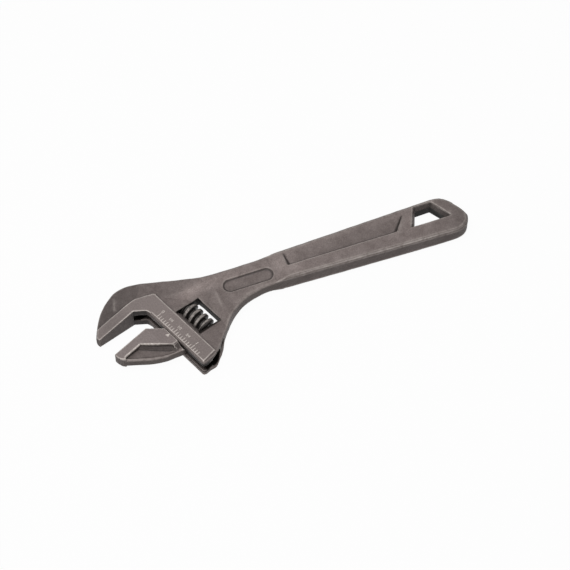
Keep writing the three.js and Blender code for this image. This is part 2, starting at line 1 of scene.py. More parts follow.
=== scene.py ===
# %% [markdown]
# # An adjustable wrench
# One forging makes the handle, the head and the fixed jaw. The movable jaw slides in a slot of
# the head, and a worm that is turned with the thumb drives it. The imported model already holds
# every solid at its real size. This notebook gives each of them its finished surface: soft
# forged edges, a clean worm thread, a scale on the head, and the dark phosphate finish.

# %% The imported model
import json

import bmesh
import bpy
import numpy as np
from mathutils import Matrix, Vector


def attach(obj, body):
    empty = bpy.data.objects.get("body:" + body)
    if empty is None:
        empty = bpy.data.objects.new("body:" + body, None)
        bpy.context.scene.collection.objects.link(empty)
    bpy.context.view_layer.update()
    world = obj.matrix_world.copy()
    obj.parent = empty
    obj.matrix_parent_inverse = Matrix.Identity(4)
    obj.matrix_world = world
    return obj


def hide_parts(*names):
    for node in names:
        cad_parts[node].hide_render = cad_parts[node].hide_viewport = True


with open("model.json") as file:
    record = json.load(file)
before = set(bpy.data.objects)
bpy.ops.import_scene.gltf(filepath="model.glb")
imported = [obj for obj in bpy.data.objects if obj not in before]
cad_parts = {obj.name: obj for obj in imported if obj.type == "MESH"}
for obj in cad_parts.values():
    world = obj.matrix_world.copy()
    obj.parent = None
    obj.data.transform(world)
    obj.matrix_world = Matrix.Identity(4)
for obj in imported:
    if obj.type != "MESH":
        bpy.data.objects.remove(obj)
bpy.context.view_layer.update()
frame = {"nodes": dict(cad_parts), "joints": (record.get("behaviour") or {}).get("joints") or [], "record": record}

print("nodes:", sorted(frame["nodes"]))

# %% [markdown]
# ## A frame of reference for the head
# The head stands at an angle to the handle, so its scale, worm and spring are easiest to place
# in a frame of their own: x runs back from the front of the cheeks towards the neck, y runs from
# the slot up to the fixed grip, and z runs up out of the face. The joints and mounts of the
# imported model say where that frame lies, so nothing is measured twice.

# %% Head frame
MM = 0.001
WORM_BACK = 16.8      # worm axis behind the front of the cheeks, mm

joints = {j["name"]: j for j in frame["joints"]}
mounts = {m["name"]: m for m in frame["record"]["mounts"]}
worm_point = np.array(joints["worm_spin"]["pos_m"])
grip_point = np.array(mounts["fixed_grip"]["pos_m"])
head_up = np.array(joints["worm_spin"]["axis"])
head_out = np.array([0.0, 0.0, 1.0])
head_back = np.cross(head_up, head_out)
head_axes = np.array([head_back, head_up, head_out])
head_origin = (
    (worm_point @ head_back - WORM_BACK * MM) * head_back
    + (grip_point @ head_up) * head_up
    + worm_point[2] * head_out
)


def from_head(points):
    """Points in mm in the head frame, to metres in the model's frame: origin + x, y, z axes."""
    return head_origin + (np.asarray(points) * MM) @ head_axes


def to_head(points):
    """The way back: offsets from the origin, measured along the three axes, in mm."""
    return (points - head_origin) @ head_axes.T / MM


worm_middle = to_head(worm_point)
movable_grip = to_head(np.array(mounts["movable_grip"]["pos_m"]))[1]
print("worm centre in the head frame, mm:", worm_middle.round(2))

# %% [markdown]
# ## Meshes from grids
# Most new pieces are a grid of points worked out as one array. Joining each point to its
# neighbours gives the faces, and wrapping a direction closes it, as round a ring.

# %% Grid to mesh


def new_piece(name, vertices, faces):
    """A smooth mesh object at the origin from an array of points and an array of faces."""
    mesh = bpy.data.meshes.new(name)
    mesh.from_pydata(vertices.tolist(), [], faces.tolist())
    mesh.polygons.foreach_set("use_smooth", np.full(len(mesh.polygons), True))
    piece = bpy.data.objects.new(name, mesh)
    bpy.context.scene.collection.objects.link(piece)
    return piece


def grid_faces(rows, columns, wrap_rows, wrap_columns):
    """Squares between the points of a rows x columns grid, as indices into the flat array."""
    i = np.arange(rows if wrap_rows else rows - 1)
    j = np.arange(columns if wrap_columns else columns - 1)
    i, j = np.meshgrid(i, j, indexing="ij")
    i_next = (i + 1) % rows
    j_next = (j + 1) % columns
    corners = [i * columns + j, i * columns + j_next, i_next * columns + j_next, i_next * columns + j]
    return np.stack(corners, axis=-1).reshape(-1, 4)


def weld(mesh, distance=1e-7):
    """Makes one point of the points that lie at the same place; the distance is in metres."""
    merged = bmesh.new()
    merged.from_mesh(mesh)
    bmesh.ops.remove_doubles(merged, verts=merged.verts, dist=distance)
    merged.to_mesh(mesh)
    merged.free()


def face_outwards(piece):
    """Turns every face of a closed mesh outwards."""
    mesh = bmesh.new()
    mesh.from_mesh(piece.data)
    bmesh.ops.recalc_face_normals(mesh, faces=mesh.faces)
    mesh.to_mesh(piece.data)
    mesh.free()


# %% [markdown]
# ## Shader helpers
# Every material is a small network of nodes. One function adds a node, sets its fields and
# sockets, and links what comes in. Another turns a colour written as sRGB hex to the linear
# numbers that shaders count in.

# %% Nodes and colours
MIX_A = 6             # the colour sockets of a Mix node, by number
MIX_B = 7
MIX_RESULT = 2


def linear(code):
    """sRGB hex such as 6e6663, to linear red, green, blue and alpha."""
    srgb = np.array([int(code[i:i + 2], 16) for i in (0, 2, 4)]) / 255
    low = srgb / 12.92
    high = ((srgb + 0.055) / 1.055) ** 2.4
    return (*np.where(srgb <= 0.04045, low, high), 1.0)


def add(tree, kind, inputs=None, **fields):
    """Adds a node. inputs maps a socket's name or number to a value or to another socket."""
    node = tree.nodes.new("ShaderNode" + kind)
    for field, value in fields.items():
        setattr(node, field, value)
    for key, value in (inputs or {}).items():
        if isinstance(value, bpy.types.NodeSocket):
            tree.links.new(value, node.inputs[key])
        else:
            node.inputs[key].default_value = value
    return node


def new_material(name):
    """An empty node material and its tree."""
    material = bpy.data.materials.new(name)
    material.use_nodes = True
    material.node_tree.nodes.clear()
    return material, material.node_tree


def metres_scale(size_mm):
    """Noise scale that gives patches of that size on coordinates in metres."""
    return 1 / (size_mm * MM)


# %% [markdown]
# ## Phosphated forged steel
# The body and the movable jaw are hot forged from alloy steel, blasted clean, and given a
# manganese phosphate finish. That coat is a felt of tiny crystals, so it gives the eye a dull,
# slightly brown grey, which is cloudy over a few millimetres and grainy up close. It holds oil,
# and painted shade is added to it, so recessed corners and the insides of the slot and the window
# are almost black. Handling rubs proud edges back to pale steel, and a painted highlight runs
# along some bevels. Faces that were machined after forging are a little lighter. The masks come
# with the mesh as attributes, and one of them carries the broad tone of each region, with
# painted light and shade on faces by the way they turn, and a tone that falls towards both ends.
# region, because the coat lies darker on the back of the head than where a hand holds it.

# %% Phosphated forged steel
CLOUD_MM = 8.0        # size of the cloudy patches
BLOT_MM = 2.4         # smaller blots inside them
GRAIN_MM = 0.6        # blasted grain; the real one is finer and is drawn as coarse as it shows
GRAIN_DEPTH_MM = 0.03
RECESS_MM = 5.0       # how far a wall must stand for a recess to look deep
OIL_AND_SHADE = "171412"        # oil and painted shade in the deepest places
GLINT_RISE_MM = 3.95   # the painted highlight runs on the bevels at this height from the middle
GLINT_HALF_MM = 0.3    # half of the painted highlight's width
GRAIN_TONES = (0.76, 1.24)    # tone in the dark and in the light of the grain
CREVICE_SHADE_TONE = 0.38   # painted shade: tone left at the bottom of a crevice
DEEP_SHADE_SHARE = 0.75     # painted shade and oil in a recess where no sky shows
GLOSS_SPREAD = 0.06   # roughness either side of its usual value
RUB_GLOSS = -0.18     # change of roughness where the coat is rubbed off
COAT_SPECULAR = 0.25  # a felt of crystals reflects less than a smooth face


def phosphate(name, dark, pale, land, bare, roughness, metallic):
    """Cloudy two-tone coat, lighter on machined lands, with oil and painted shade in recesses, bare on edges."""
    material, tree = new_material(name)
    place = add(tree, "TexCoord").outputs["Object"]
    cloud = add(tree, "TexNoise", {"Vector": place, "Scale": metres_scale(CLOUD_MM),
                                   "Detail": 3.0, "Roughness": 0.55}).outputs["Fac"]
    blot = add(tree, "TexNoise", {"Vector": place, "Scale": metres_scale(BLOT_MM),
                                  "Detail": 4.0, "Roughness": 0.6, "Distortion": 0.6}).outputs["Fac"]
    grain = add(tree, "TexNoise", {"Vector": place, "Scale": metres_scale(GRAIN_MM),
                                   "Detail": 3.0, "Roughness": 0.7}).outputs["Fac"]
    mask = {}
    for kind in ("edge", "line", "crevice_shade", "machined", "oil_and_shade", "tone"):
        mask[kind] = add(tree, "Attribute", attribute_name=kind).outputs["Fac"]

    both = add(tree, "Math", {0: cloud, 1: blot}, operation="ADD").outputs[0]
    clouds = add(tree, "MapRange", {"Value": both, "From Min": 0.7, "From Max": 1.3}).outputs[0]
    tone = add(tree, "Mix", {0: clouds, MIX_A: linear(dark), MIX_B: linear(pale)},
               data_type="RGBA").outputs[MIX_RESULT]
    tone = add(tree, "Mix", {0: mask["machined"], MIX_A: tone, MIX_B: linear(land)},
               data_type="RGBA").outputs[MIX_RESULT]
    speck = add(tree, "MapRange", {"Value": grain, "From Min": 0.3, "From Max": 0.7,
                                   "To Min": GRAIN_TONES[0], "To Max": GRAIN_TONES[1]}).outputs[0]
    # The broad tone of each region holds painted light and shade, and painted shade in crevices darkens it
    # further.
    broad = add(tree, "Math", {0: speck, 1: mask["tone"]}, operation="MULTIPLY").outputs[0]
    shade = add(tree, "MapRange", {"Value": mask["crevice_shade"], "To Min": 1.0,
                                   "To Max": CREVICE_SHADE_TONE}).outputs[0]
    broad = add(tree, "Math", {0: broad, 1: shade}, operation="MULTIPLY").outputs[0]
    tone = add(tree, "Mix", {0: 1.0, MIX_A: tone, MIX_B: broad},
               data_type="RGBA", blend_type="MULTIPLY").outputs[MIX_RESULT]

    patchy = add(tree, "MapRange", {"Value": blot, "From Min": 0.35, "From Max": 0.6,
                                    "To Min": 0.4}).outputs[0]
    # Painted highlight: where the line mask says so, a thin line at a set height on the bevels is painted as pale
    # as a worn edge.
    height = add(tree, "SeparateXYZ", {0: place}).outputs["Z"]
    height = add(tree, "Math", {0: height, 1: -head_origin[2]}, operation="ADD").outputs[0]
    rise = add(tree, "Math", {0: height}, operation="ABSOLUTE").outputs[0]
    on_glint = add(tree, "Math", {0: rise, 1: GLINT_RISE_MM * MM, 2: GLINT_HALF_MM * MM},
                  operation="COMPARE").outputs[0]
    on_glint = add(tree, "Math", {0: mask["line"], 1: on_glint}, operation="MULTIPLY").outputs[0]
    proud = add(tree, "Math", {0: mask["edge"], 1: on_glint}, operation="MAXIMUM").outputs[0]
    rubbed = add(tree, "Math", {0: proud, 1: patchy}, operation="MULTIPLY").outputs[0]
    tone = add(tree, "Mix", {0: rubbed, MIX_A: tone, MIX_B: linear(bare)},
               data_type="RGBA").outputs[MIX_RESULT]
    # Painted shade: a recess darkens towards the oil colour as less sky shows round it, and so do the walls that
    # the mask of the slot, the bore and the window picks out.
    open_sky = add(tree, "AmbientOcclusion", {"Distance": RECESS_MM * MM}, samples=8,
                   only_local=True).outputs["AO"]
    deep_shade = add(tree, "MapRange", {"Value": open_sky, "From Min": 0.25, "From Max": 0.85,
                                  "To Min": DEEP_SHADE_SHARE, "To Max": 0.0}).outputs[0]
    deep_shade = add(tree, "Math", {0: deep_shade, 1: mask["oil_and_shade"]}, operation="MAXIMUM").outputs[0]
    tone = add(tree, "Mix", {0: deep_shade, MIX_A: tone, MIX_B: linear(OIL_AND_SHADE)},
               data_type="RGBA").outputs[MIX_RESULT]

    gloss = add(tree, "MapRange", {"Value": blot, "From Min": 0.3, "From Max": 0.7,
                                   "To Min": roughness - GLOSS_SPREAD,
                                   "To Max": roughness + GLOSS_SPREAD}).outputs[0]
    gloss = add(tree, "Math", {0: rubbed, 1: RUB_GLOSS, 2: gloss},
                operation="MULTIPLY_ADD").outputs[0]
    bump = add(tree, "Bump", {"Height": grain, "Strength": 0.5, "Distance": GRAIN_DEPTH_MM * MM})
    # Metallic rises to 1 in the deep places, so that their painted shade and oil lose the coat's pale sheen.
    metal = add(tree, "Math", {0: deep_shade, 1: 1 - metallic, 2: metallic},
                operation="MULTIPLY_ADD").outputs[0]
    shader = add(tree, "BsdfPrincipled", {"Base Color": tone, "Roughness": gloss,
                                          "Metallic": metal,
                                          "Specular IOR Level": COAT_SPECULAR,
                                          "Normal": bump.outputs[0]})
    add(tree, "OutputMaterial", {"Surface": shader.outputs[0]})
    return material


forged_steel = phosphate("phosphated_forged_steel", dark="675d5a", pale="7f7572",
                         land="827875", bare="c4bbb5", roughness=0.55, metallic=0.15)
jaw_steel = phosphate("phosphated_jaw_steel", dark="685e5b", pale="827875",
                      land="817775", bare="bcb3ad", roughness=0.55, metallic=0.15)
print("materials:", forged_steel.name, jaw_steel.name)

# %% [markdown]
# ## Turned and blackened steel
# The worm, its pin and its spring are turned or wound from bar and wire, then blackened. Oil
# keeps them dark and glossy, and the crests of the thread shine where thumbs rub them.

# %% Blackened steel
SMEAR_MM = 1.4        # size of the smears of oil
GROOVE_MM = 3.0       # how far a wall must stand for a groove to look deep
GROOVE_SHADE_SHARE = 0.85   # painted shade and oil in a groove where no sky shows


def blackened(name, colour, worn, roughness, metallic):
    """Dark oiled steel, blotched, with oil and painted shade in its grooves and lighter, smoother rubbed crests.
    """
    material, tree = new_material(name)
    place = add(tree, "TexCoord").outputs["Object"]
    smear = add(tree, "TexNoise", {"Vector": place, "Scale": metres_scale(SMEAR_MM),
                                   "Detail": 4.0, "Roughness": 0.6}).outputs["Fac"]
    edge = add(tree, "Attribute", attribute_name="edge").outputs["Fac"]
    patchy = add(tree, "MapRange", {"Value": smear, "From Min": 0.3, "From Max": 0.6}).outputs[0]
    rubbed = add(tree, "Math", {0: edge, 1: patchy}, operation="MULTIPLY").outputs[0]
    tone = add(tree, "Mix", {0: rubbed, MIX_A: linear(colour), MIX_B: linear(worn)},
               data_type="RGBA").outputs[MIX_RESULT]
    # Painted shade: a groove darkens towards the oil colour as less sky shows round it.
    open_sky = add(tree, "AmbientOcclusion", {"Distance": GROOVE_MM * MM}, samples=8,
                   only_local=True).outputs["AO"]
    deep_shade = add(tree, "MapRange", {"Value": open_sky, "From Min": 0.35, "From Max": 0.95,
                                  "To Min": GROOVE_SHADE_SHARE, "To Max": 0.0}).outputs[0]
    tone = add(tree, "Mix", {0: deep_shade, MIX_A: tone, MIX_B: linear(OIL_AND_SHADE)},
               data_type="RGBA").outputs[MIX_RESULT]
    gloss = add(tree, "MapRange", {"Value": smear, "From Min": 0.3, "From Max": 0.7,
                                   "To Min": roughness - 0.06, "To Max": roughness + 0.08}).outputs[0]
    shader = add(tree, "BsdfPrincipled", {"Base Color": tone, "Roughness": gloss,
                                          "Metallic": metallic})
    add(tree, "OutputMaterial", {"Surface": shader.outputs[0]})
    return material


worm_steel = blackened("blackened_worm_steel", colour="3f3b39", worn="8f8883",
                       roughness=0.45, metallic=0.5)
pin_steel = blackened("blackened_pin_steel", colour="403c3a", worn="857d78",
                      roughness=0.42, metallic=0.5)
spring_steel = blackened("oiled_spring_steel", colour="6f6966", worn="a8a19c",
                         roughness=0.35, metallic=0.8)
mark_steel = blackened("bare_mark_steel", colour="c3bab4", worn="cdc5bf",
                       roughness=0.5, metallic=0.2)
print("materials:", worm_steel.name, pin_steel.name, spring_steel.name, mark_steel.name)

# %% [markdown]
# ## Soft skins over the solids
# A forging has no sharp edge: the dies round every corner, blasting softens it further, and the
# faces ripple slightly. The solids are copied, their loose triangles are merged, and each copy is
# covered with small squares. Averaging every point with its neighbours then rounds the edges and
# leaves flat faces flat. Thinning takes away the squares that a flat face doesn't need, but
# leaves the points where a mask changes, or its border would smear over a long triangle.

# %% Skin from a solid
RIPPLE_WAVES = 24     # slow waves that add up to the ripple of a forged face
RIPPLE_LENGTHS = (5, 16)      # shortest and longest wave, mm
RIPPLE_MM = 0.035     # their usual height
MASK_ROUNDS = 3       # rounds that soften the masks
ROUNDING = 0.5        # share of the way to its neighbours' mean that a point moves in a round
MACHINED_HOLD = 0.65  # share of that which a machined face doesn't move
SOFT_ROUNDS = 40      # extra rounds where a forged edge is almost half round
SOFT_ROUNDING = 0.6   # share of the way in each of those
FULLER_ROUNDS = 6     # rounds that blend where an outline stands out into where it doesn't
SWELL_ROUNDS = 2      # rounds that calm the measure of how far a surface swells
SWELL_SCALE = 0.26    # mm; turns a curvature into a plain number
WEAR_GAIN = 22        # wear for each unit of swell, once it is past the floor
WEAR_FLOOR = 0.12
CREVICE_GAIN = 18.0   # the same for the painted shade in hollows
CREVICE_FLOOR = 0.1
BORDER_STEP = 0.035   # a mask that changes faster than this from point to point keeps its points
random = np.random.default_rng(7)


def merged_copy(node, name):
    """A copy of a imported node's mesh with its doubled points merged."""
    mesh = frame["nodes"][node].data.copy()
    weld(mesh, 1e-6)
    mesh.materials.clear()
    mesh.name = name
    piece = bpy.data.objects.new(name, mesh)
    bpy.context.scene.collection.objects.link(piece)
    return piece


def settle(piece):
    """Replaces a piece's mesh by the one that its modifiers make."""
    shown = piece.evaluated_get(bpy.context.evaluated_depsgraph_get())
    mesh = bpy.data.meshes.new_from_object(shown)
    mesh.name = piece.name
    piece.modifiers.clear()
    piece.data = mesh


def points_of(mesh, kind="co"):
    """The points or the point normals of a mesh as an array of rows."""
    values = np.zeros(len(mesh.vertices) * 3, np.float32)
    source = mesh.vertices if kind == "co" else mesh.vertex_normals
    source.foreach_get("co" if kind == "co" else "vector", values)
    return values.reshape(-1, 3).astype(float)


class Neighbours:
    """Averages values over the neighbours of each point, from the mesh's edges."""

    def __init__(self, mesh):
        ends = np.zeros(len(mesh.edges) * 2, np.int32)
        mesh.edges.foreach_get("vertices", ends)
        ends = ends.reshape(-1, 2)
        self.a = np.concatenate([ends[:, 0], ends[:, 1]])
        self.b = np.concatenate([ends[:, 1], ends[:, 0]])
        self.size = len(mesh.vertices)
        self.count = np.bincount(self.a, minlength=self.size)

    def mean(self, values):
        """Sum over the neighbours, divided by their number, column by column."""
        columns = values.reshape(self.size, -1).T
        sums = [np.bincount(self.a, weights=c[self.b], minlength=self.size) for c in columns]
        return (np.array(sums) / self.count).T.reshape(values.shape)


def ripple(points):
    """Sum of slow cosine waves of random directions, scaled to a usual height of 1."""
    ways = random.normal(size=(RIPPLE_WAVES, 3))
    ways /= np.linalg.norm(ways, axis=1)[:, None]
    lengths = random.uniform(*RIPPLE_LENGTHS, RIPPLE_WAVES) * MM
    phases = random.uniform(0, 2 * np.pi, RIPPLE_WAVES)
    waves = np.cos(2 * np.pi * points @ (ways / lengths[:, None]).T + phases)
    return waves.sum(axis=1) * np.sqrt(2 / RIPPLE_WAVES)


def set_attribute(mesh, name, values):
    """Stores one number per point on the mesh."""
    mesh.attributes.new(name, "FLOAT", "POINT").data.foreach_set("value", values.astype(np.float32))


def covered(node, name, square_mm, turned):
    """A copy of the node covered with squares; turned lays them along the head's own axes."""
    piece = merged_copy(node, name)
    if turned:
        move(piece.data, lambda points: to_head(points) * MM)
    remesh = piece.modifiers.new("squares", "REMESH")
    remesh.mode = "VOXEL"
    remesh.voxel_size = square_mm * MM
    settle(piece)
    if turned:
        move(piece.data, lambda points: from_head(points / MM))
    return piece


def move(mesh, rule):
    """Moves every point of a mesh by a rule on arrays of points."""
    mesh.vertices.foreach_set("co", rule(points_of(mesh)).astype(np.float32).ravel())
    mesh.update()


def skin(node, name, square_mm, rounds, masks, keep, turned=False, fuller=None):
    """Covers a copy of the node with squares, rounds it, ripples its forged faces, thins it.

    masks(p, n) takes points in the head's frame in mm and their normals, and gives masks by
    name. Machined faces round less and don't ripple, and soft ones round much more. fuller(p, n)
    gives how far each point stands out past the solid, as rows of x, y and z in mm, and no point
    sinks below the lowest one. Swell is how far a point stands out from the mean of its
    neighbours, over the square of their distance. Edges wear where it is large, and where the
    mask rub says so, and hollows get a painted shade where it is below zero. keep is the share of
    triangles that thinning leaves, and it never takes a point at the border of a mask.
    """
    piece = covered(node, name, square_mm, turned)
    mesh = piece.data
    near = Neighbours(mesh)
    points = points_of(mesh)
    mask = masks(to_head(points), points_of(mesh, "normal") @ head_axes.T)
    for _ in range(MASK_ROUNDS):
        mask = {kind: near.mean(values) for kind, values in mask.items()}
    share = (ROUNDING * (1 - MACHINED_HOLD * mask["machined"]))[:, None]
    for _ in range(rounds):
        points += share * (near.mean(points) - points)
    soft = mask.pop("soft", None)
    if soft is not None:
        for _ in range(SOFT_ROUNDS):
            points += SOFT_ROUNDING * soft[:, None] * (near.mean(points) - points)
    mesh.vertices.foreach_set("co", points.astype(np.float32).ravel())
    mesh.update()
    normals = points_of(mesh, "normal")
    if fuller is not None:
        lowest = points[:, 2].min()
        outward = fuller(to_head(points), normals @ head_axes.T)
        for _ in range(FULLER_ROUNDS):
            outward = near.mean(outward)
        points += outward * MM @ head_axes
        points[:, 2] = np.maximum(points[:, 2], lowest)
    bulge = ((points - near.mean(points)) * normals).sum(axis=1)
    swell = bulge / (square_mm * MM) ** 2 * SWELL_SCALE * MM
    for _ in range(SWELL_ROUNDS):
        swell = near.mean(swell)
    forged = ripple(points) * RIPPLE_MM * MM * (1 - mask["machined"]) * (1 - mask["oil_and_shade"])
    points += normals * forged[:, None]
    mesh.vertices.foreach_set("co", points.astype(np.float32).ravel())
    mesh.update()
    worn = np.clip(swell * WEAR_GAIN - WEAR_FLOOR, 0, 1) * mask.pop("wear")
    mask["edge"] = np.maximum(worn, mask.pop("rub", 0))
    # Painted shade in hollows, where the surface curves inwards.
    mask["crevice_shade"] = np.clip(-swell * mask.pop("crevice", CREVICE_GAIN) - CREVICE_FLOOR, 0, 1)
    border = np.zeros(len(points), dtype=bool)
    for kind, values in mask.items():
        set_attribute(mesh, kind, values)
        border |= np.abs(values - near.mean(values)) > BORDER_STEP
    free = piece.vertex_groups.new(name="free")
    free.add(np.flatnonzero(~border).tolist(), 1.0, "REPLACE")
    thin = piece.modifiers.new("thin", "DECIMATE")
    thin.ratio = keep
    thin.vertex_group = free.name
    settle(piece)
    piece.vertex_groups.clear()
    piece.data.polygons.foreach_set("use_smooth", np.full(len(piece.data.polygons), True))
    kept = border.mean().round(2)
    print(name, "has", len(piece.data.polygons), "faces;", kept, "of its points were at borders")
    return piece


def finish_piece(piece, body, slot, material, *nodes):
    """Gives a piece its material and body, and hides the nodes that it stands for. slot is not used."""
    piece.data.materials.clear()
    piece.data.materials.append(material)
    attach(piece, body)
    if nodes:
        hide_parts(*nodes)


# %% [markdown]
# ## Body
# The bands beside the slot and along the fixed grip stand proud of the forged web and are
# machined flat, so the first mask takes every point that lies as high as they do. The second,
# which holds oil and painted shade, takes the walls of the slot, of the rack's bore and of the
# worm's window, with the sill where the window's lower wall meets the web. Wear is strongest on
# the bands and along the handle. The back of the head gets a painted shade, and the tone falls
# towards both ends of the tool. Creases and the crest at the panel's far end are rubbed where a
# hand or a bench meets them, and a thin painted highlight runs along the bevels.
#
# Every rule is a function of place and direction on whole arrays of points, because the finish
# of a forging depends on where on the tool a point lies, and its painted light and shade on the
# way a face turns.

# %% Body masks
BAND_TOP = 6.3        # half of the head's thickness, mm
BAND_STEP = 0.6       # band above the forged web
BAND_WIDTH = 9.6      # band beside the slot
THROAT = 5.5          # corner relief at the root of the fixed jaw
TAPER = 0.142         # fall of the fixed jaw's land per mm towards its tip
RACK_BACK = 9.4       # rack's axis behind the front of the cheeks
BORE = 4.3            # radius of the rack's bore
SLOT_HALF = 2.1       # half of the slot's width
SLOT_END = 0.6        # the slot ends below this height
WALL_ROOM = 0.25      # points of a rounded wall lie within this of the plain one
WINDOW_HALF = 7.9     # half of the worm window's height
WINDOW_REACH = 8.3    # its side walls lie within this of the worm's axis
WINDOW_START = BAND_WIDTH + 0.6       # the window's walls show only behind the band
CHEEK_FOOT = -14      # the lower part of the cheeks starts here
HOLE_ENDS = (73, 93)  # hanging hole, along the tool
HOLE_HALF = 6.5       # and to both sides of its middle
HOLE_MIDDLE = mounts["hanging_hole"]["pos_m"][1] / MM
PANEL_ALONG = (3, 73) # floor of the long panel, along the tool and across it
PANEL_ACROSS = (11.4, 20.3)
OVAL_MIDDLE = (-18.8, 11)
OVAL_HALF = (13.4, 3.8)
window_foot = worm_middle[1] - WINDOW_HALF

# Values at places along the tool, in mm from the middle of the model's frame.
TONES = ((-101, -85, -60, -30, -5, 10, 40, 75, 88, 101),
         (0.96, 1.0, 1.02, 1.1, 1.28, 1.3, 1.2, 1.26, 1.06, 0.8))
FACE_HEIGHTS = ((-52, -44, -36, -28, -12, -4, 4), (6.3, 4.3, 3.4, 3.2, 3.2, 3.5, 4.6))
# How strong the painted highlight along the bevels is, at places along the tool.
GLINT_SHARES = ((-8, 10, 30, 80, 96), (0, 0.6, 0.9, 0.9, 0.3))

# Soft patches: the share by which each is lighter, or darker below zero, its middle and its
# size in mm.
HEAD_PATCHES = (
    (0.6, (24, -9.5), (9, 3.2)),          # the web above the worm's window
    (-0.25, (-17, 2), (9, 4)),            # the land of the fixed jaw
    (-0.12, (6, -40), (8, 9)),            # lower end of the band
)
TOOL_PATCHES = (
    (0.35, (-32, 17), (14, 5)),           # upper side of the neck
    (0.2, (4, 12), (6, 6)),               # where the handle starts
    (0.2, (76, 15), (5, 5)),              # between the panel and the hanging hole
)

# Soft lines: the strength of each, its start, its end and its width in mm.
CREASES = (
    (0.45, (-6.8, 13.4), (-11.5, 7.5), 0.35),     # over the nose
    (0.3, (33.5, -18.4), (30.0, -27.2), 0.4),     # from the neck down to the heel
)
# The ledges at the panel's ends get painted shade.
LEDGES = (
    (0.8, (68.8, 18.5), (62.6, 11.0), 0.55),      # far end of the long panel
    (0.6, (3.2, 18.5), (3.7, 12.4), 0.7),         # its near end
)
CRESTS = ((0.5, (69.9, 18.2), (64.0, 10.2), 0.3),)


def ramp(values, low, high):
    """0 below low, 1 above high, and a straight rise between them."""
    return np.clip((values - low) / (high - low), 0, 1)


def patch(points, centre, size):
    """A soft patch: 1 at its centre, and falling off like a bell as distance grows past size."""
    return np.exp(-(((points - np.array(centre)) / np.array(size)) ** 2).sum(axis=1))


def streak(points, start, end, width):
    """A soft line: 1 along the line from start to end, falling off like a bell beside it."""
    start, run = np.array(start), np.array(end) - np.array(start)
    share = np.clip((points - start) @ run / (run @ run), 0, 1)
    away = points - start - share[:, None] * run
    return np.exp(-(away ** 2).sum(axis=1) / width ** 2)


def strongest(points, lines):
    """The strongest of several soft lines at each point."""
    return np.max([strength * streak(points, start, end, width)
                   for strength, start, end, width in lines], axis=0)


def near_window(x, y, room):
    """True between the walls of the worm's window, and above and below them by some room."""
    return (np.abs(x - WORM_BACK) < WINDOW_REACH) & (np.abs(y - worm_middle[1]) < WINDOW_HALF + room)


def near_hole(flat, across, room):
    """True in the hanging hole and round it, by room at its ends and half of that beside it."""
    beside = np.abs(across - HOLE_MIDDLE) < HOLE_HALF + room / 2
    return (flat > HOLE_ENDS[0] - room) & (flat < HOLE_ENDS[1] + room) & beside


def between(values, ends):
    """True where a value lies between two ends."""
    return (values > ends[0]) & (values < ends[1])


